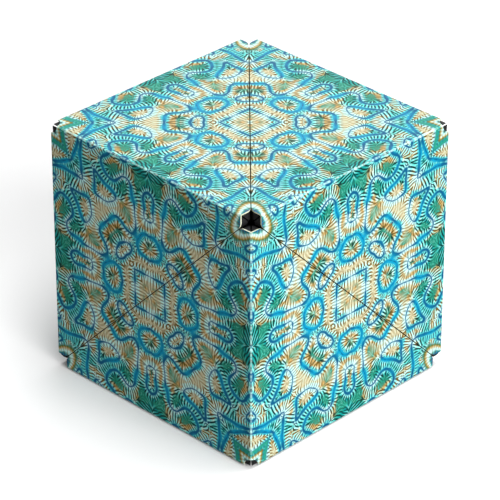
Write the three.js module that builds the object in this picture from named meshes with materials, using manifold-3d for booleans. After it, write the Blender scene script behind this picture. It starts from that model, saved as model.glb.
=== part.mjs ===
// A folding puzzle cube: twelve congruent hollow tetrahedral tiles, joined in one closed ring by film hinges that lie
// along the twelve edges of the cube. The six face diagonals that meet at two opposite corners are open seams.
// Millimetres, +Z up. The origin is the middle of the bottom face.
import * as THREE from "three";
import { ConvexGeometry } from "three/addons/geometries/ConvexGeometry.js";
import { mergeVertices } from "three/addons/utils/BufferGeometryUtils.js";
import Module from "manifold-3d";

// Overall size and clearances
const cubeEdge = 57; // outside edge of the closed cube, over the film
const seamGap = 0.3; // between the facing walls of two closed tiles
const fitGap = 0.3; // between the pieces of one tile

// Tile walls
const filmThickness = 0.3; // printed film on the outer face and over the hinges
const plateThickness = 1.6; // flat outer plate of a tile
const shellWall = 1.4; // the three inner walls of a tile
const tipRadius = 1.2; // rounded acute corners of plate and film
const edgeCut = 0.7; // flat along the edges that run to the middle of the cube
const innerTrim = 2.4; // how far a tile stops short of the middle of the cube

// Rim under the plate, which centres it in the shell
const rimHeight = 2.4;
const rimWidth = 1.2;

// Film hinge
const hingeFlap = 3.2; // width of the film strip on each side of a cube edge

// Magnet behind the seam wall of each tile, in a moulded cup
const magnetRadius = 4;
const magnetHeight = 2;
const cupWall = 1;
const circleSegments = 24;
const curveSteps = 6;

const black = { color: 0x141518, roughness: 0.45, metalness: 0 };
const nickel = { color: 0xb9bcc0, roughness: 0.3, metalness: 1 };
const print = { color: 0x3f9fb0, roughness: 0.4, metalness: 0 };
const hingePrint = { color: 0x2f8fa6, roughness: 0.4, metalness: 0 };

const root2 = Math.SQRT2;
const plateTop = filmThickness + fitGap;
const plateBottom = plateTop + plateThickness;
const shellTop = plateBottom + fitGap;
const seamInset = seamGap / 2;
const cavityInset = seamInset + shellWall;
const tileDepth = cubeEdge / 2 - innerTrim;
const rimTop = plateBottom + rimHeight;
const cupRadius = magnetRadius + fitGap;
const magnetDepth = rimTop + fitGap + cupRadius + cupWall; // from the outer face to the magnet's middle

const wasm = await Module();
wasm.setup();

// A closed three.js geometry as a solid that can be joined and cut.
function solid(geometry, matrix = new THREE.Matrix4()) {
  const bare = geometry.clone().applyMatrix4(matrix);
  bare.deleteAttribute("normal");
  bare.deleteAttribute("uv");
  const merged = mergeVertices(bare, 1e-4);
  const vertProperties = new Float32Array(merged.attributes.position.array);
  const triVerts = new Uint32Array(merged.index.array);
  return new wasm.Manifold(new wasm.Mesh({ numProp: 3, vertProperties, triVerts }));
}

// A joined or cut solid back as a three.js geometry.
function geometryOf(body) {
  const { vertProperties, triVerts } = body.getMesh();
  const geometry = new THREE.BufferGeometry();
  geometry.setAttribute("position", new THREE.BufferAttribute(vertProperties, 3));
  geometry.setIndex(new THREE.BufferAttribute(triVerts, 1));
  geometry.computeVertexNormals();
  return geometry;
}

function plane(x, y, z, constant) {
  const length = Math.hypot(x, y, z);
  return new THREE.Plane(new THREE.Vector3(x / length, y / length, z / length), constant);
}

// The point that three planes share, or null if they share none or many.
function meetingPoint(a, b, c) {
  const m = new THREE.Matrix3();
  m.set(...a.normal, ...b.normal, ...c.normal);
  if (Math.abs(m.determinant()) < 1e-9) return null;
  return new THREE.Vector3(-a.constant, -b.constant, -c.constant).applyMatrix3(m.invert());
}

// The convex body behind all of the planes.
function convexBody(planes) {
  const corners = [];
  for (let i = 0; i < planes.length; i++) {
    for (let j = i + 1; j < planes.length; j++) {
      for (let k = j + 1; k < planes.length; k++) {
        const point = meetingPoint(planes[i], planes[j], planes[k]);
        if (!point || planes.some((p) => p.distanceToPoint(point) > 1e-6)) continue;
        if (corners.every((corner) => corner.distanceTo(point) > 1e-4)) corners.push(point);
      }
    }
  }
  return solid(new ConvexGeometry(corners));
}

// A tile's own frame: the right-angled corner of its outer face at the origin, its two hinge edges along +X and +Y,
// and +Z into the cube. The other two corners of the outer face are acute.
function tilePlanes(inset, cut, zLow, zHigh) {
  return [
    plane(0, 0, -1, zLow),
    plane(0, 0, 1, -zHigh),
    plane(0, -1, 1, inset),
    plane(-1, 0, 1, inset),
    plane(1, 1, 0, -cubeEdge / root2 + inset),
    plane(1, 0, 1, -cubeEdge / root2 + cut),
    plane(0, 1, 1, -cubeEdge / root2 + cut),
    plane(-1, -1, 2, cut),
  ];
}

function extruded(outline, zLow, zHigh) {
  const geometry = new THREE.ExtrudeGeometry(outline, {
    depth: zHigh - zLow,
    bevelEnabled: false,
    curveSegments: curveSteps,
  });
  return solid(geometry, new THREE.Matrix4().makeTranslation(0, 0, zLow));
}

// The outline of a tile's outer face with its two acute corners rounded. leg and seam are the distances to the sides.
function faceOutline(leg, seam, radius) {
  const tip = cubeEdge - seam * root2 - leg; // where the seam side crosses a leg side
  const back = radius / Math.tan(Math.PI / 8);
  const centre = tip - back;
  const outline = new THREE.Shape();
  outline.moveTo(leg, leg);
  outline.lineTo(centre, leg);
  outline.absarc(centre, leg + radius, radius, -Math.PI / 2, Math.PI / 4, false);
  outline.absarc(leg + radius, centre, radius, Math.PI / 4, Math.PI, false);
  outline.closePath();
  return outline;
}

// One outer plate, with the rim that sits inside the shell.
function plateBody() {
  const slab = convexBody(tilePlanes(seamInset, edgeCut, plateTop, plateBottom));
  const rounded = extruded(faceOutline(0, seamInset, tipRadius), plateTop, plateBottom);
  const rimOut = cavityInset + fitGap;
  const rim = convexBody(tilePlanes(rimOut, edgeCut + rimOut, plateBottom - fitGap, rimTop));
  const rimIn = rimOut + rimWidth;
  const hollow = convexBody(tilePlanes(rimIn, edgeCut + rimIn, plateBottom, rimTop + fitGap));
  return slab.intersect(rounded).add(rim.subtract(hollow));
}

// Turns +Z to the seam wall's inward normal, on that wall's middle line and level with the magnet.
function seamWallMatrix(depth) {
  const normal = new THREE.Vector3(-1, -1, 0).normalize();
  const turn = new THREE.Quaternion().setFromUnitVectors(new THREE.Vector3(0, 0, 1), normal);
  const middle = new THREE.Vector3(cubeEdge / 2, cubeEdge / 2, magnetDepth);
  return new THREE.Matrix4().compose(
    middle.addScaledVector(normal, depth),
    turn,
    new THREE.Vector3(1, 1, 1),
  );
}

function disc(radius, low, high) {
  const geometry = new THREE.CylinderGeometry(radius, radius, high - low, circleSegments);
  geometry.rotateX(Math.PI / 2);
  return solid(geometry, seamWallMatrix((low + high) / 2));
}

// The three inner walls, open towards the plate, with the cup that holds the magnet.
function shellBody() {
  const outer = convexBody(tilePlanes(seamInset, edgeCut, shellTop, tileDepth));
  const cavity = convexBody(
    tilePlanes(cavityInset, edgeCut + shellWall, plateTop, tileDepth - shellWall),
  );
  const cup = disc(cupRadius + cupWall, cavityInset - fitGap, cavityInset + magnetHeight);
  const pocket = disc(cupRadius, cavityInset, cavityInset + magnetHeight + fitGap);
  return outer.subtract(cavity).add(cup.subtract(pocket));
}

function magnetBody() {
  const low = cavityInset + fitGap;
  return disc(magnetRadius, low, low + magnetHeight);
}

function polygon(...corners) {
  return new THREE.Shape(corners.map(([x, y]) => new THREE.Vector2(x, y)));
}

// Two outlines, extruded and cut to their common part. The film is one sheet thick.
function filmPiece(one, other) {
  return extruded(one, 0, filmThickness).intersect(extruded(other, -fitGap, filmThickness + fitGap));
}

// The printed film on the outer face, inside the two hinge strips.
function filmBody() {
  const near = hingeFlap + fitGap;
  const far = cubeEdge - near;
  return filmPiece(faceOutline(0, seamInset, tipRadius), polygon([near, near], [far, near], [near, far]));
}

// The same outline seen from the other end of the hinge edge.
function reversed(outline) {
  const points = outline.getPoints(curveSteps);
  return new THREE.Shape(points.map(({ x, y }) => new THREE.Vector2(cubeEdge - x, y)));
}

// One half of a hinge strip, along +X in the XY plane: the part of a tile's film that borders the hinge edge. It is
// mitred at the tile's right angle, which is at the start or the end of the edge.
function flapBody(squareAtStart) {
  const mitre = (fitGap / 2) * root2;
  const face = faceOutline(0, seamInset, tipRadius);
  const strip = polygon([mitre, 0], [cubeEdge, 0], [cubeEdge, hingeFlap], [hingeFlap + mitre, hingeFlap]);
  return squareAtStart ? filmPiece(face, strip) : filmPiece(reversed(face), reversed(strip));
}

// A hinge strip: the cube edge along +X, the first tile's half in the XY plane and the next tile's in the XZ plane.
// The half turn that swaps Y and Z also swaps the two ends of the edge.
function hingeBody(firstSquareAtStart, nextSquareAtStart) {
  const swapYZ = new THREE.Matrix4()
    .makeRotationAxis(new THREE.Vector3(0, 1, 1).normalize(), Math.PI)
    .setPosition(cubeEdge, 0, 0);
  const nextFlap = solid(geometryOf(flapBody(!nextSquareAtStart)), swapYZ);
  return flapBody(firstSquareAtStart).add(nextFlap);
}

// The ring in order. Each tile has an outward face normal and the cube corner at its right angle; each hinge joins
// its tile to the next one, and the last tile joins the first.
const ring = [
  { tile: "bottom_back", face: [0, 0, -1], corner: [1, 1, -1], hinge: "hinge_right_bottom" },
  { tile: "right_low", face: [1, 0, 0], corner: [1, -1, -1], hinge: "hinge_front_right" },
  { tile: "front_low", face: [0, -1, 0], corner: [1, -1, -1], hinge: "hinge_front_bottom" },
  { tile: "bottom_front", face: [0, 0, -1], corner: [-1, -1, -1], hinge: "hinge_left_bottom" },
  { tile: "left_low", face: [-1, 0, 0], corner: [-1, -1, -1], hinge: "hinge_front_left" },
  { tile: "front_high", face: [0, -1, 0], corner: [-1, -1, 1], hinge: "hinge_front_top" },
  { tile: "top_front", face: [0, 0, 1], corner: [-1, -1, 1], hinge: "hinge_left_top" },
  { tile: "left_high", face: [-1, 0, 0], corner: [-1, 1, 1], hinge: "hinge_back_left" },
  { tile: "back_high", face: [0, 1, 0], corner: [-1, 1, 1], hinge: "hinge_back_top" },
  { tile: "top_back", face: [0, 0, 1], corner: [1, 1, 1], hinge: "hinge_right_top" },
  { tile: "right_high", face: [1, 0, 0], corner: [1, 1, 1], hinge: "hinge_back_right" },
  { tile: "back_low", face: [0, 1, 0], corner: [1, 1, -1], hinge: "hinge_back_bottom" },
];

const axes = [0, 1, 2].map((i) => new THREE.Vector3().setComponent(i, 1));

// A group whose origin is a cube corner (each coordinate -1 or 1) and whose +X, +Y and +Z are the given directions.
function placed(corner, x, y, z) {
  const group = new THREE.Group();
  group.position.copy(corner).multiplyScalar(cubeEdge / 2);
  group.quaternion.setFromRotationMatrix(new THREE.Matrix4().makeBasis(x, y, z));
  return group;
}

// The two edges of a tile run away from its corner; their order makes the frame right-handed.
function tileGroup({ face, corner }) {
  const inward = new THREE.Vector3(...face).negate();
  const at = new THREE.Vector3(...corner);
  const legs = axes.filter((axis) => axis.dot(inward) === 0).map((axis) => axis.clone().multiplyScalar(-axis.dot(at)));
  if (legs[0].clone().cross(legs[1]).dot(inward) < 0) legs.reverse();
  return placed(at, legs[0], legs[1], inward);
}

// The strip on the edge that two neighbouring faces share, which starts at a cube corner.
function hingeGroup(one, next) {
  const across = new THREE.Vector3(...next.face).negate();
  const inward = new THREE.Vector3(...one.face).negate();
  const along = across.clone().cross(inward);
  const start = across.clone().add(inward).add(along).negate();
  const group = placed(start, along, across, inward);
  group.add(mesh(one.hinge, hingeGeometry(start, one, next), hingePrint));
  return group;
}

const shapes = {
  plate: geometryOf(plateBody()),
  shell: geometryOf(shellBody()),
  magnet: geometryOf(magnetBody()),
  film: geometryOf(filmBody()),
};

function hingeGeometry(start, one, next) {
  const isStart = ({ corner }) => start.equals(new THREE.Vector3(...corner));
  return geometryOf(hingeBody(isStart(one), isStart(next)));
}

function mesh(name, geometry, look) {
  const made = new THREE.Mesh(geometry, new THREE.MeshStandardMaterial(look));
  made.name = name;
  return made;
}

const cube = new THREE.Group();
cube.position.z = cubeEdge / 2;
ring.forEach((one, index) => {
  const next = ring[(index + 1) % ring.length];
  const tile = tileGroup(one);
  tile.add(mesh(`${one.tile}_plate`, shapes.plate, black));
  tile.add(mesh(`${one.tile}_shell`, shapes.shell, black));
  tile.add(mesh(`${one.tile}_magnet`, shapes.magnet, nickel));
  tile.add(mesh(`${one.tile}_film`, shapes.film, print));
  cube.add(tile, hingeGroup(one, next));
});

const part = new THREE.Group();
part.add(cube);

export default part;
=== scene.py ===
import math

import bmesh
import bpy
from mathutils import Matrix, Vector


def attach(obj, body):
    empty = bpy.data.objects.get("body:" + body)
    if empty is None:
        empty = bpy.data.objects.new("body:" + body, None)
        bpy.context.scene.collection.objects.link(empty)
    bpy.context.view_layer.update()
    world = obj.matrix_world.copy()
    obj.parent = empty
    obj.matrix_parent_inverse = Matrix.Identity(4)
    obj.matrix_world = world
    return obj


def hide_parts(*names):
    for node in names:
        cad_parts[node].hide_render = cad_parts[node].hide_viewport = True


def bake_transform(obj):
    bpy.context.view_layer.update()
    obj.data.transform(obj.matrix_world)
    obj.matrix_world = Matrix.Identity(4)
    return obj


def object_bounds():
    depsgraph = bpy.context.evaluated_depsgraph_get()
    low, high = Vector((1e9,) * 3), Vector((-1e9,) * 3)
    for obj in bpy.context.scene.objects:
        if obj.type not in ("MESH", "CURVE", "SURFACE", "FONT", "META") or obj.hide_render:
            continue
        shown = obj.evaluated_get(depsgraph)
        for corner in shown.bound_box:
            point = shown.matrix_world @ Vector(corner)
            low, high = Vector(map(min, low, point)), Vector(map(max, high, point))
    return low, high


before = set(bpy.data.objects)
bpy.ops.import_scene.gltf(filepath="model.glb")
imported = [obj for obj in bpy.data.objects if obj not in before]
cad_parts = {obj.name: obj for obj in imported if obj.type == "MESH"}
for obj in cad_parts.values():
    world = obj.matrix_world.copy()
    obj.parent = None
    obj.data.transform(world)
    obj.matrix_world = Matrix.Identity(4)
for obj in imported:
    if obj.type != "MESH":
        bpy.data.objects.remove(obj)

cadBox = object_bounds()
mm = 0.001
half = cadBox[1].x       # half of the cube's edge
edge = 2 * half
centre = Vector((0, 0, half))
axes = [Vector((1, 0, 0)), Vector((0, 1, 0)), Vector((0, 0, 1))]
slant = math.sqrt(0.5)   # from a length along a 45 degree line to its run

# each tile: the axis its outer face is square to, and the signs of the cube corner at its right angle
tiles = {
    "bottom_back": (2, (1, 1, -1)),
    "right_low": (0, (1, -1, -1)),
    "front_low": (1, (1, -1, -1)),
    "bottom_front": (2, (-1, -1, -1)),
    "left_low": (0, (-1, -1, -1)),
    "front_high": (1, (-1, -1, 1)),
    "top_front": (2, (-1, -1, 1)),
    "left_high": (0, (-1, 1, 1)),
    "back_high": (1, (-1, 1, 1)),
    "top_back": (2, (1, 1, 1)),
    "right_high": (0, (1, 1, 1)),
    "back_low": (1, (1, 1, -1)),
}
openPivot = "hinge_back_left"     # the one fold left open, so that the ring of tiles can be a tree
sideNames = [("left", "right"), ("front", "back"), ("bottom", "top")]


class Signal:
    # a shader socket that can be added, multiplied and compared like a number
    def __init__(self, tree, socket):
        self.tree = tree
        self.socket = socket

    def node(self, kind, settings=None, values=None, output=0):
        made = self.tree.nodes.new(kind)
        for name, setting in (settings or {}).items():
            if name == "stops":
                fillRamp(made.color_ramp, setting)
            else:
                setattr(made, name, setting)
        for name, value in (values or {}).items():
            if isinstance(value, Signal):
                self.tree.links.new(value.socket, made.inputs[name])
            else:
                made.inputs[name].default_value = value
        return Signal(self.tree, made.outputs[output])

    def compute(self, operation, *operands):
        return self.node("ShaderNodeMath", {"operation": operation}, dict(enumerate(operands)))

    def __add__(self, other):
        return self.compute("ADD", self, other)

    def __sub__(self, other):
        return self.compute("SUBTRACT", self, other)

    def __rsub__(self, other):
        return self.compute("SUBTRACT", other, self)

    def __mul__(self, other):
        return self.compute("MULTIPLY", self, other)

    def __truediv__(self, other):
        return self.compute("DIVIDE", self, other)

    def __pow__(self, other):
        return self.compute("POWER", self, other)

    def __abs__(self):
        return self.compute("ABSOLUTE", self)

    __radd__ = __add__
    __rmul__ = __mul__

    def larger(self, other):
        return self.compute("MAXIMUM", self, other)

    def smaller(self, other):
        return self.compute("MINIMUM", self, other)

    def step(self, low, high):
        # 0 below low, 1 above high, and smooth between; the other way round when low is above high
        flip = low > high
        ends = {"From Min": min(low, high), "From Max": max(low, high),
                "To Min": 1.0 if flip else 0.0, "To Max": 0.0 if flip else 1.0}
        return self.node("ShaderNodeMapRange", {"interpolation_type": "SMOOTHSTEP"},
                         {"Value": self, **ends})

    def parts(self):
        split = self.node("ShaderNodeSeparateXYZ", values={0: self}).socket.node
        return [Signal(self.tree, output) for output in split.outputs]

    def mix(self, first, second):
        # from the first colour to the second as this signal goes from 0 to 1
        return self.node("ShaderNodeMix", {"data_type": "RGBA"}, {0: self, 6: first, 7: second}, output=2)

    def ramp(self, look, stops):
        # stops are places along the signal, each with the name of a colour of the look
        filled = [(place, look[colour]) for place, colour in stops]
        return self.node("ShaderNodeValToRGB", {"stops": filled}, {0: self})

    def noise(self, scale, detail=2.0, roughness=0.5, distortion=0.0, dimensions="3D"):
        return self.node("ShaderNodeTexNoise", {"noise_dimensions": dimensions},
                         {"Vector": self, "Scale": scale, "Detail": detail, "Roughness": roughness,
                          "Distortion": distortion})


def fillRamp(ramp, stops):
    while len(ramp.elements) > 1:
        ramp.elements.remove(ramp.elements[-1])
    ramp.elements[0].position = stops[0][0]
    ramp.elements[0].color = stops[0][1]
    for position, colour in stops[1:]:
        ramp.elements.new(position).color = colour


def newMaterial(name):
    material = bpy.data.materials.new(name)
    material.use_nodes = True
    tree = material.node_tree
    shader = tree.nodes["Principled BSDF"]
    return material, shader, Signal(tree, None)


def connect(shader, **signals):
    # an underscore stands for the space in a socket's name
    for name, signal in signals.items():
        socket = shader.inputs[name.replace("_", " ")]
        if isinstance(signal, Signal):
            signal.tree.links.new(signal.socket, socket)
        else:
            socket.default_value = signal


def grey(level):
    return (level, level, level, 1)


def flatPoint(x, y):
    return x.node("ShaderNodeCombineXYZ", values={0: x, 1: y})


def reachOf(across, along):
    return (across * across + along * along) ** 0.5


# lengths are millimetres over the print; most pairs are where a smooth step starts and ends
filmLook = {
    "unit": edge * slant / mm,                # half of a face diagonal
    "bandScale": 0.095,                       # swells in each millimetre
    "bandRoughness": 0.35,
    "bandHeight": 4.6,                        # contours over one swell
    "flattest": 0.10,                         # the least slope, in contours for each millimetre
    "slopeStep": 0.2,                         # how far apart two heights are read for a slope
    "seed": (88.0, 31.0),
    "ringShape": (0.66, 1.5),                 # along and across the seam
    "ringPhase": (2.0, 4.0),                  # start and period of the bands round a ringed corner
    "ringField": (9, 4),
    "ringEdge": (5.7, 4.9),
    "chevronLean": 1.4,
    "chevronPhase": (1.0, 5.5),
    "chevronField": (90, 25),                 # squared distances
    "chevronEdge": (7.6, 6.4),
    "chevronBands": (0.84, 0.9),              # scale and shift of the ring colours on the chevrons
    "squarePhase": (4.3, 4.6),
    "squareField": (9, 4),
    "ringStops": [(0.0, "cerulean"), (0.28, "deepBlue"), (0.315, "teal"), (0.35, "white"),
                  (0.385, "white"), (0.41, "cream"), (0.44, "ochre"), (0.475, "olive"), (0.52, "teal"),
                  (0.60, "green"), (0.72, "green")],           # in centimetres from the corner
    "ridgeStops": [(0.24, "teal"), (0.31, "aqua"), (0.38, "white"), (0.45, "cream"), (0.50, "ochre"),
                   (0.55, "cream"), (0.62, "white")],
    "slopeStops": [(0.24, "teal"), (0.34, "green"), (0.40, "moss"), (0.46, "ochre"), (0.53, "ochre"),
                   (0.58, "sand"), (0.64, "cream")],
    "lineHeart": (-0.25, 0.12),               # where the dark heart of a blue line ends
    "haloFrom": (0.20, 0.55),
    "ridgeFrom": (0.75, 1.15),
    "slopeFrom": (1.25, 1.65),
    "coreFrom": (1.85, 2.5),
    "combFrom": (0.25, 0.6),
    "combFade": (3.0, 2.0),
    "combBlue": (0.95, 0.55),                 # the comb strokes are blue near a line
    "combShare": 1.35,                        # strokes in each millimetre
    "combSpan": 0.45,                         # size of one patch of strokes
    "darkStroke": (0.55, 0.44),
    "paleStroke": (0.56, 0.70),
    "tintScale": 0.15,
    "toneScale": 0.17,
    "patchShift": (71.0, -33.0),
    "grainScale": 1.1,
    "ragged": 0.45,                           # how far the grain moves a band's edge
    "bandRagged": 0.7,                        # the same for the corner bands
    "rimWidth": (13, 2),
    "midEdge": (21, 8),
    # width of the painted highlight along the folds: full at 0.10 mm, gone at 0.34 mm
    "foldHighlightWidth": (0.34, 0.10),
    "lineSwell": 0.8,                         # how far the blue lines swell and thin out
    "lineThin": 0.05,
    "warmth": 0.54,                           # a mood is teal when low, ochre near the middle and pale when high
    "warmthSpread": 1.1,
    "foldChill": (0.06, 0.15),                # how much cooler a fold is, and its middle again
    "combFades": (0.55, 0.65),                # lost on the corner bands; kept of the pale strokes
    "gloss": {"Coat_Weight": 0.04, "Coat_Roughness": 0.4, "Specular_IOR_Level": 0.25},
    "deepBlue": (0.0, 0.10, 0.22, 1),
    "cerulean": (0.0, 0.31, 0.52, 1),
    "aqua": (0.13, 0.72, 0.66, 1),
    "white": (0.62, 0.94, 0.88, 1),
    "cream": (0.68, 0.70, 0.48, 1),
    "ochre": (0.58, 0.37, 0.12, 1),
    "olive": (0.12, 0.16, 0.01, 1),
    "moss": (0.30, 0.34, 0.13, 1),
    "sand": (0.64, 0.58, 0.36, 1),
    "bottle": (0.0, 0.035, 0.03, 1),
    "bark": (0.15, 0.09, 0.01, 1),
    "green": (0.02, 0.30, 0.20, 1),
    "teal": (0.0, 0.30, 0.28, 1),
}


def ringReach(x, y, look):
    # how far out from a ringed corner; its rings are stretched along the seam
    along, across = look["ringShape"]
    return reachOf((look["unit"] - x) * along, y * across)


def chevronReach(x, y, look):
    # how far out from one of the other corners
    return (look["unit"] - y) + x * look["chevronLean"]


def bandsFrom(distance, phase):
    start, period = phase
    return (distance - start) / period


def bandField(x, y, look):
    # the height whose contours are the bands; x runs to the ringed corners, y to the chevron corners
    reach = look["unit"]
    most, least = x.larger(y), x.smaller(y)
    place = flatPoint(most + look["seed"][0], least + look["seed"][1])
    swell = place.noise(look["bandScale"], 1.0, look["bandRoughness"], dimensions="2D")
    ring = ringReach(x, y, look)
    ringWeight = ring.step(*look["ringField"])
    chevronWeight = ((reach - y) * (reach - y) + x * x).step(*look["chevronField"])
    square = (most + least) * slant                             # grows from the face's middle as a square
    squareWeight = square.step(*look["squareField"])
    free = (1 - ringWeight) * (1 - chevronWeight) * (1 - squareWeight)
    height = (swell - 0.5) * look["bandHeight"] * free
    height = height + ringWeight * bandsFrom(ring, look["ringPhase"])
    height = height + chevronWeight * bandsFrom(chevronReach(x, y, look), look["chevronPhase"])
    return height + squareWeight * bandsFrom(square, look["squarePhase"])


def combStrokes(place, angle, look):
    # fine strokes square to the bands
    return place.node("ShaderNodeTexGabor", {"gabor_type": "2D"},
                      {"Vector": place, "Scale": look["combSpan"],
                       "Frequency": look["combShare"] / look["combSpan"], "Anisotropy": 1.0,
                       "Orientation": angle + math.pi / 2})


def cornerBands(distance, grain, look):
    # the nested bands round a corner of the cube
    return ((distance + (grain - 0.5) * look["bandRagged"]) / 10).ramp(look, look["ringStops"])


def filmPrint(name, look):
    material, shader, start = newMaterial(name)
    across, along, _ = start.node("ShaderNodeUVMap", {"uv_map": "print"}).parts()
    x = abs(across) * look["unit"]
    y = abs(along) * look["unit"]

    height = bandField(x, y, look)
    small = look["slopeStep"]
    slopeX = (bandField(x + small, y, look) - height) / small
    slopeY = (bandField(x, y + small, look) - height) / small
    steep = reachOf(slopeX, slopeY)
    place = flatPoint(x, y)
    strokes = combStrokes(place, slopeY.compute("ARCTAN2", slopeY, slopeX), look)

    patches = flatPoint(x.larger(y) + look["patchShift"][0], x.smaller(y) + look["patchShift"][1])
    tint = patches.noise(look["tintScale"], 1.0, 0.5, dimensions="2D")
    tone = patches.noise(look["toneScale"], 1.0, 0.5, dimensions="2D")
    grain = place.noise(look["grainScale"], 3.0, 0.6, dimensions="2D")
    toEdge = (look["unit"] - x - y) * slant                     # distance to the nearest fold
    rim = toEdge.step(*look["rimWidth"])                        # 1 along the folds, 0 well inside a face
    midEdge = (abs(x - y) * slant).step(*look["midEdge"])       # 1 at a fold's middle, 0 towards its ends
    chill, midChill = look["foldChill"]
    mood = look["warmth"] + (tint - 0.5) * look["warmthSpread"] - rim * (chill + midChill * midEdge)

    away = height.compute("PINGPONG", height, 0.5) / steep.larger(look["flattest"])
    lineWidth = (tone - 0.5) * look["lineSwell"] + rim * 0.03 - look["lineThin"]
    away = away + (grain - 0.5) * look["ragged"] - lineWidth    # distance from the nearest blue line

    line = (tone - rim * 0.05).step(0.48, 0.74).mix(look["deepBlue"], look["cerulean"])
    halo = (tone + rim * 0.05).step(0.62, 0.38).mix(look["aqua"], look["white"])
    core = (mood + (tone - 0.5) * 0.4).step(0.45, 0.58).mix(look["green"], look["sand"])
    colour = away.step(*look["lineHeart"]).mix(look["deepBlue"], line)
    for zone, fill in (("haloFrom", halo), ("ridgeFrom", mood.ramp(look, look["ridgeStops"])),
                       ("slopeFrom", mood.ramp(look, look["slopeStops"])), ("coreFrom", core)):
        colour = away.step(*look[zone]).mix(colour, fill)

    ring = ringReach(x, y, look)
    chevron = chevronReach(x, y, look)
    nearRing = (ring + (grain - 0.5)).step(*look["ringEdge"])
    nearChevron = (chevron + (grain - 0.5)).step(*look["chevronEdge"])
    scale, shift = look["chevronBands"]
    colour = nearRing.mix(colour, cornerBands(ring, grain, look))
    colour = nearChevron.mix(colour, cornerBands(chevron * scale + shift, grain, look))

    dark = (mood + (grain - 0.5) * 0.25).step(0.38, 0.52).mix(look["bottle"], look["bark"])
    dark = away.step(*look["combBlue"]).mix(dark, look["deepBlue"])
    pale = (grain - rim * 0.2).step(0.25, 0.6).mix(look["aqua"], look["white"])
    comb = away.step(*look["combFrom"]) * (0.5 + 0.5 * away.step(*look["combFade"]))
    cornerLoss, paleShare = look["combFades"]
    comb = comb * (1 - nearRing.larger(nearChevron) * cornerLoss)
    comb = comb * (0.70 + 0.30 * (tone + rim * 0.15).step(0.36, 0.50))
    colour = (strokes.step(*look["darkStroke"]) * comb).mix(colour, dark)
    colour = (strokes.step(*look["paleStroke"]) * comb * paleShare).mix(colour, pale)
    paintedFoldHighlight = toEdge.step(*look["foldHighlightWidth"]) * grain.step(0.35, 0.6)    # painted highlight along the folds, broken up by the grain
    colour = (paintedFoldHighlight * 0.5).mix(colour, look["white"])

    relief = strokes * comb
    bump = relief.node("ShaderNodeBump",
                       values={"Height": relief, "Strength": 0.12, "Distance": 0.05 * mm})
    connect(shader, Base_Color=colour, Roughness=0.50 + grain * 0.12, Normal=bump, **look["gloss"])
    return material


coreLook = {"dull": (0.55, 0.60, 0.42, 1), "pale": (0.80, 0.80, 0.62, 1), "speckScale": 900.0}


def filmCore(name, look):
    # the pale cut edge of the laminated film
    material, shader, start = newMaterial(name)
    place = start.node("ShaderNodeTexCoord", output="Object")
    speck = place.noise(look["speckScale"], 2.0, 0.6)
    connect(shader, Base_Color=speck.step(0.3, 0.7).mix(look["dull"], look["pale"]),
            Roughness=0.45 + speck * 0.2)
    return material


plasticLook = {
    "dark": (0.003, 0.003, 0.0035, 1),
    "pale": (0.009, 0.009, 0.010, 1),
    "rubbed": (0.03, 0.03, 0.031, 1),         # on worn edges
    "cloudScale": 160.0,
    "grainScale": 2600.0,
}


def mouldedPlastic(name, look):
    material, shader, start = newMaterial(name)
    place = start.node("ShaderNodeTexCoord", output="Object")
    cloud = place.noise(look["cloudScale"], 3.0, 0.55)
    grain = place.noise(look["grainScale"], 2.0, 0.6)
    worn = start.node("ShaderNodeNewGeometry", output="Pointiness").step(0.51, 0.60)
    colour = cloud.step(0.35, 0.7).mix(look["dark"], look["pale"])
    colour = (worn * 0.35).mix(colour, look["rubbed"])
    bump = grain.node("ShaderNodeBump", values={"Height": grain, "Strength": 0.25, "Distance": 0.02 * mm})
    connect(shader, Base_Color=colour, Roughness=0.42 + cloud * 0.18, Normal=bump,
            Specular_IOR_Level=0.3)
    return material


steelLook = {
    "dull": (0.52, 0.50, 0.46, 1),
    "bright": (0.66, 0.65, 0.62, 1),
    "cloudScale": 420.0,
    "scratchScale": 1400.0,
}


def platedSteel(name, look):
    material, shader, start = newMaterial(name)
    place = start.node("ShaderNodeTexCoord", output="Object")
    cloud = place.noise(look["cloudScale"], 3.0, 0.6)
    scratch = place.noise(look["scratchScale"], 2.0, 0.5, 1.5)
    connect(shader, Base_Color=cloud.step(0.3, 0.7).mix(look["dull"], look["bright"]),
            Roughness=0.22 + scratch * 0.16, Metallic=1.0)
    return material


printed = filmPrint("printed film", filmLook)
cutEdge = filmCore("film cut edge", coreLook)
plastic = mouldedPlastic("black moulded plastic", plasticLook)
nickel = platedSteel("nickel plate", steelLook)
print("film, plastic and nickel ready")

for name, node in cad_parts.items():
    node.data.materials.clear()
    node.data.materials.append(nickel if name.endswith("_magnet") else plastic)
print("finishes on the moulded parts and magnets")

# sheets are drawn flat in a tile's own frame: the right angle at the origin, its folds along x and y
sheet = {
    "thickness": 0.28 * mm,
    "strip": 1.2 * mm,         # how far a fold strip reaches from the cube edge
    "foldRadius": 0.45 * mm,
    "seam": 0.11 * mm,         # each tile's share of an open seam
    "tipCut": 2.85 * mm,       # how far an acute tip stops short of the cube corner
    "tipFillet": 2.0 * mm,
    "relief": 2.1 * mm,        # round relief at the right-angled corner
    "openRelief": 2.8 * mm,    # the same where no bare plastic shows
    "reliefSteps": 10,
    "filletSteps": 6,
    "foldCuts": [0.08 * mm, 0.16 * mm, 0.24 * mm, 0.32 * mm, 0.40 * mm, 0.55 * mm, 0.8 * mm],
    "lengthCuts": 12,
    "blendInset": 0.1 * mm,    # an inset inside its strip; two points are worked out from it, and nothing uses them
    "weld": 0.01 * mm,
}


def bareCorner(tile):
    # true where the black plastic of a tile's right-angled corner shows past the film
    return math.prod(tiles[tile][1]) > 0


def tipEnds(look):
    # the two far coordinates of an acute tip that is cut square to its fold
    tip = edge - look["seam"] * math.sqrt(2)
    return edge - look["tipCut"], tip - edge + look["tipCut"]


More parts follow.
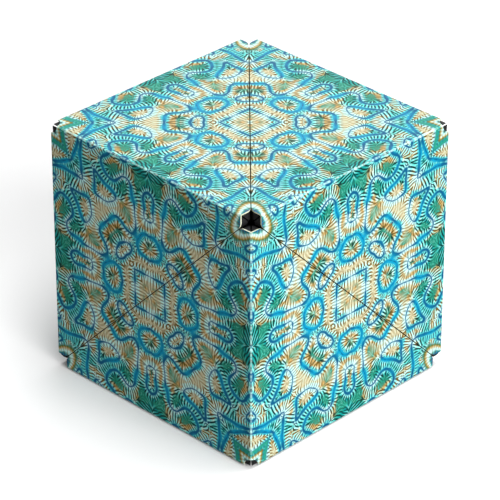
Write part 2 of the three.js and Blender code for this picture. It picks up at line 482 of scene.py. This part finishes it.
def roundCorners(bm, corners, offset, segments):
    bmesh.ops.bevel(bm, geom=corners, offset=offset, offset_type="OFFSET", affect="VERTICES",
                    segments=segments, profile=0.5, material=-1)


def flatSheet(look, bare):
    # a triangle with its two acute tips cut square and rounded, and a round relief at its right angle
    bm = bmesh.new()
    start = bm.verts.new((look["relief"] if bare else look["openRelief"], 0, 0))
    corner = bmesh.ops.spin(bm, geom=[start], cent=(0, 0, 0), axis=(0, 0, 1), angle=math.pi / 2,
                            steps=look["reliefSteps"], use_merge=False)
    end = [v for v in corner["geom_last"] if isinstance(v, bmesh.types.BMVert)][0]
    near, far = tipEnds(look)
    ring = [bm.verts.new(p) for p in ((0, near, 0), (far, near, 0), (near, far, 0), (near, 0, 0))]
    chain = [end] + ring + [start]
    for a, b in zip(chain, chain[1:]):
        bm.edges.new((a, b))
    roundCorners(bm, ring[1:3], look["tipFillet"] * math.tan(math.pi / 8), look["filletSteps"])
    bmesh.ops.contextual_create(bm, geom=bm.edges[:])
    bmesh.ops.recalc_face_normals(bm, faces=bm.faces[:])
    if bm.faces[0].normal.z < 0:
        bmesh.ops.reverse_faces(bm, faces=bm.faces[:])
    return bm


def planeCut(bm, point, normal, dropOuter=True):
    # cuts along a plane; what lies on the side its normal points to goes, unless dropOuter is false
    bmesh.ops.bisect_plane(bm, geom=bm.verts[:] + bm.edges[:] + bm.faces[:], dist=1e-7, plane_co=point,
                           plane_no=normal, clear_outer=dropOuter, clear_inner=False)


plate = {
    "top": 0.30 * mm,          # below the outer face
    "bottom": 2.2 * mm,
    "mitre": 0.15 * mm,        # clear of the mitre plane through each fold
    "seam": 0.22 * mm,
    "tipCut": 3.0 * mm,
    "tipFillet": 1.6 * mm,
    "filletSteps": 6,
    "cornerRound": 1.75 * mm,
    "openRound": 4.4 * mm,     # the same where no bare plastic shows
    "cornerSteps": 8,
    "edgeBevel": 0.12 * mm,
}


def flatPlate(look, bare):
    # the same triangle with its right angle rounded outwards, where bare plastic shows past the film
    bm = bmesh.new()
    near, far = tipEnds(look)
    outline = ((0, 0, 0), (near, 0, 0), (near, far, 0), (far, near, 0), (0, near, 0))
    ring = [bm.verts.new(p) for p in outline]
    bm.faces.new(ring)
    roundCorners(bm, ring[2:4], look["tipFillet"] * math.tan(math.pi / 8), look["filletSteps"])
    roundCorners(bm, ring[:1], look["cornerRound" if bare else "openRound"], look["cornerSteps"])
    return bm


def addPiece(name, mesh):
    piece = bpy.data.objects.new(name, mesh)
    bpy.context.scene.collection.objects.link(piece)
    return piece


def meshFrom(name, bm):
    mesh = bpy.data.meshes.new(name)
    bm.to_mesh(mesh)
    bm.free()
    return mesh


def outerPlate(name, look):
    bm = flatPlate(look, bareCorner(name))
    bmesh.ops.translate(bm, verts=bm.verts[:], vec=(0, 0, -look["top"]))
    grown = bmesh.ops.extrude_face_region(bm, geom=bm.faces[:])
    bmesh.ops.translate(bm, verts=[v for v in grown["geom"] if isinstance(v, bmesh.types.BMVert)],
                        vec=(0, 0, look["top"] - look["bottom"]))
    clear = look["mitre"] * math.sqrt(2)
    for point, normal in (((clear, 0, 0), (-1, 0, -1)), ((0, clear, 0), (0, -1, -1))):
        planeCut(bm, point, normal)
        bmesh.ops.holes_fill(bm, edges=bm.edges[:], sides=0)
    bmesh.ops.dissolve_limit(bm, angle_limit=0.01, verts=bm.verts[:], edges=bm.edges[:])
    bm.transform(tileMatrix(name))
    bmesh.ops.recalc_face_normals(bm, faces=bm.faces[:])
    mesh = meshFrom(name + "_cover", bm)
    mesh.materials.append(plastic)
    piece = addPiece(name + "_cover", mesh)
    rounding = piece.modifiers.new("rounded edges", "BEVEL")
    rounding.width = look["edgeBevel"]
    rounding.segments = 2
    rounding.limit_method = "ANGLE"
    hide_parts(name + "_plate")
    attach(piece, name)


def tileMatrix(name, firstAxis=None):
    # from a tile's flat frame (x and y along its folds, z outwards) to the cube
    faceAxis, signs = tiles[name]
    legs = [i for i in range(3) if i != faceAxis]
    if firstAxis is not None and legs[0] != firstAxis:
        legs.reverse()
    corner = centre + Vector(signs) * half
    columns = [-axes[i] * signs[i] for i in legs] + [axes[faceAxis] * signs[faceAxis]]
    turn = Matrix(columns).transposed().to_4x4()
    return Matrix.Translation(corner) @ turn


def placeSheet(bm, matrix):
    # moves a sheet to its tile; a matrix that mirrors it would turn it inside out
    bm.transform(matrix)
    if matrix.determinant() < 0:
        bmesh.ops.reverse_faces(bm, faces=bm.faces[:])


def printPlace(point, faceAxis, sign):
    # a point of one face in the print's own axes: first along the ringed diagonal, then along the other
    i, j = [k for k in range(3) if k != faceAxis]
    p = (point - centre) / (2 * half)
    return p[i] - sign * p[j], p[i] + sign * p[j]


def markPrint(bm, tile, matrix):
    # gives a sheet that is still flat its place in the print
    faceAxis, signs = tiles[tile]
    uv = bm.loops.layers.uv.new("print")
    for face in bm.faces:
        for loop in face.loops:
            loop[uv].uv = printPlace(matrix @ loop.vert.co, faceAxis, signs[faceAxis])


def finishSheet(name, bm, look):
    # gives a surface its thickness, and a pale cut edge
    mesh = meshFrom(name, bm)
    thin = addPiece(name + "_surface", mesh)
    wall = thin.modifiers.new("thickness", "SOLIDIFY")
    wall.thickness = look["thickness"]
    wall.offset = -1
    wall.material_offset_rim = 1
    mesh.materials.append(printed)
    mesh.materials.append(cutEdge)
    bpy.context.view_layer.update()
    walled = thin.evaluated_get(bpy.context.evaluated_depsgraph_get())
    solidMesh = bpy.data.meshes.new_from_object(walled)
    bpy.data.objects.remove(thin)
    solidMesh.name = name
    return addPiece(name, solidMesh)


def filmPanel(name, look):
    bm = flatSheet(look, bareCorner(name))
    planeCut(bm, (0, look["strip"], 0), (0, -1, 0))
    planeCut(bm, (look["strip"], 0, 0), (-1, 0, 0))
    matrix = tileMatrix(name)
    markPrint(bm, name, matrix)
    placeSheet(bm, matrix)
    piece = finishSheet(name + "_print", bm, look)
    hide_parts(name + "_film")
    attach(piece, name)


def foldedPlace(away, look):
    # how far along its face, and how deep, a point this far from the fold's middle comes to lie
    radius = look["foldRadius"]
    bend = math.pi / 4
    arc = radius * bend
    run = away * (look["strip"] - radius + arc) / look["strip"]
    if run >= arc:
        return radius + run - arc, 0.0
    turn = run / radius
    return radius - radius * math.sin(bend - turn), radius * (1 - math.cos(bend - turn))


def halfStrip(tile, other, look):
    # one tile's side of a fold strip, bent down by an eighth of a turn
    # other is the axis of the face across the fold
    bm = flatSheet(look, bareCorner(tile))
    planeCut(bm, (0, look["strip"], 0), (0, 1, 0))
    for cut in look["foldCuts"]:
        planeCut(bm, (0, cut, 0), (0, 1, 0), dropOuter=False)
    for share in range(1, look["lengthCuts"]):
        planeCut(bm, (edge * share / look["lengthCuts"], 0, 0), (1, 0, 0), dropOuter=False)
    matrix = tileMatrix(tile, firstAxis=3 - tiles[tile][0] - other)
    markPrint(bm, tile, matrix)
    for vert in bm.verts:
        across, deep = foldedPlace(vert.co.y, look)
        vert.co.y = across
        vert.co.z = -deep
    placeSheet(bm, matrix)
    return bm


def joined(first, second, look):
    carrier = meshFrom("carrier", second)
    first.from_mesh(carrier)
    bpy.data.meshes.remove(carrier)
    bmesh.ops.remove_doubles(first, verts=first.verts[:], dist=look["weld"])
    return first


def foldName(tile, other):
    faceAxis, signs = tiles[tile]
    words = {k: sideNames[k][signs[k] > 0] for k in (faceAxis, other)}
    return "hinge_" + "_".join(words[k] for k in (1, 0, 2) if k in words)


def openFold(name, sides, look):
    # the fold that the model leaves open: a flap on each tile, and the first replaces the strip
    flaps = [finishSheet(name + "_" + tile + "_print", halfStrip(tile, other, look), look)
             for tile, other in sides]
    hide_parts(name)
    for piece, (tile, _) in zip(flaps, sides):
        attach(piece, tile)


def foldStrip(name, sides, look):
    # a strip over a cube edge, which bends between its two tiles
    (tileA, otherA), (tileB, otherB) = sides
    bm = joined(halfStrip(tileA, otherA, look), halfStrip(tileB, otherB, look), look)
    piece = finishSheet(name + "_print", bm, look)
    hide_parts(name)
    faceA, faceB = tiles[tileA][0], tiles[tileB][0]
    outA = axes[faceB] * tiles[tileA][1][faceB]        # along face A, towards the fold
    outB = axes[faceA] * tiles[tileB][1][faceA]
    middle = centre + outA * half + outB * half
    reach = look["strip"] - look["blendInset"]
    middle - outA * reach
    middle - outB * reach
    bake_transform(piece)


folds = {}
for tile, (faceAxis, signs) in tiles.items():
    for other in range(3):
        if other != faceAxis:
            folds.setdefault(foldName(tile, other), []).append((tile, other))

for tile in tiles:
    outerPlate(tile, plate)
    filmPanel(tile, sheet)
print("covers and film panels", len(tiles))

for name, sides in folds.items():
    (openFold if name == openPivot else foldStrip)(name, sides, sheet)
print("fold strips", len(folds))

viewpoint = {
    "azimuth": 44.67,
    "elevation": 29.81,
    "distance": 0.64546,
    "lens": 226.64,
    "sensor": 36,
    "target": (0.001967, -0.001967, 0.02894),
    "nearest": 0.01,
    "farthest": 20,
}


def makeCamera(look):
    a, e = math.radians(look["azimuth"]), math.radians(look["elevation"])
    back = Vector((math.sin(a) * math.cos(e), -math.cos(a) * math.cos(e), math.sin(e)))
    camera = addPiece("camera", bpy.data.cameras.new("camera"))
    camera.data.lens = look["lens"]
    camera.data.sensor_width = look["sensor"]
    camera.location = Vector(look["target"]) + back * look["distance"]
    camera.rotation_euler = (-back).to_track_quat("-Z", "Y").to_euler()
    camera.data.clip_start = look["nearest"]
    camera.data.clip_end = look["farthest"]
    bpy.context.scene.camera = camera


# the softboxes aim at the cube's middle; each has its place, its width in metres and its power in watts
studio = {
    "aim": (0, 0, 0.03),
    "softboxes": {
        "overhead softbox": ((0.12, 0.22, 0.9), 0.8, 8.4),
        "right softbox": ((0.94, -0.26, 0.38), 1.1, 20.5),
        "back softbox": ((-0.85, 0.95, 0.14), 0.5, 5),
        "front fill": ((-0.5, -0.9, 0.3), 0.6, 0.3),
    },
    "room": 0.08,              # strength of the light from all round
    "floorSize": 3,
    "floorDrop": 0.2 * mm,     # below the cube
    "floorGreys": (0.93, 0.95),
}


def softLight(name, place, size, power, aim):
    lamp = bpy.data.lights.new(name, "AREA")
    lamp.shape = "DISK"
    lamp.size = size
    lamp.energy = power
    holder = addPiece(name, lamp)
    holder.location = place
    holder.rotation_euler = (Vector(aim) - Vector(place)).to_track_quat("-Z", "Y").to_euler()


def makeFloor(look):
    bm = bmesh.new()
    bmesh.ops.create_grid(bm, x_segments=1, y_segments=1, size=look["floorSize"])
    floor = addPiece("floor", meshFrom("floor", bm))
    material, shader, start = newMaterial("pale floor")
    place = start.node("ShaderNodeTexCoord", output="Object")
    cloud = place.noise(3.0, 2.0, 0.5)
    connect(shader, Base_Color=cloud.step(0.2, 0.8).mix(*[grey(level) for level in look["floorGreys"]]),
            Roughness=0.8 + cloud * 0.1, Specular_IOR_Level=0.1)
    floor.data.materials.append(material)
    floor.location.z = -look["floorDrop"]
    floor.visible_diffuse = False        # no light thrown back up at the sides
    floor.visible_glossy = False


def makeRoom(look):
    world = bpy.data.worlds.new("studio")
    bpy.context.scene.world = world
    world.use_nodes = True
    background = world.node_tree.nodes["Background"]
    background.inputs["Color"].default_value = grey(1.0)
    background.inputs["Strength"].default_value = look["room"]


makeCamera(viewpoint)
makeFloor(studio)
for name, (place, size, power) in studio["softboxes"].items():
    softLight(name, place, size, power, studio["aim"])
makeRoom(studio)
bpy.context.scene.view_settings.view_transform = "Standard"
print("camera, floor and lights")
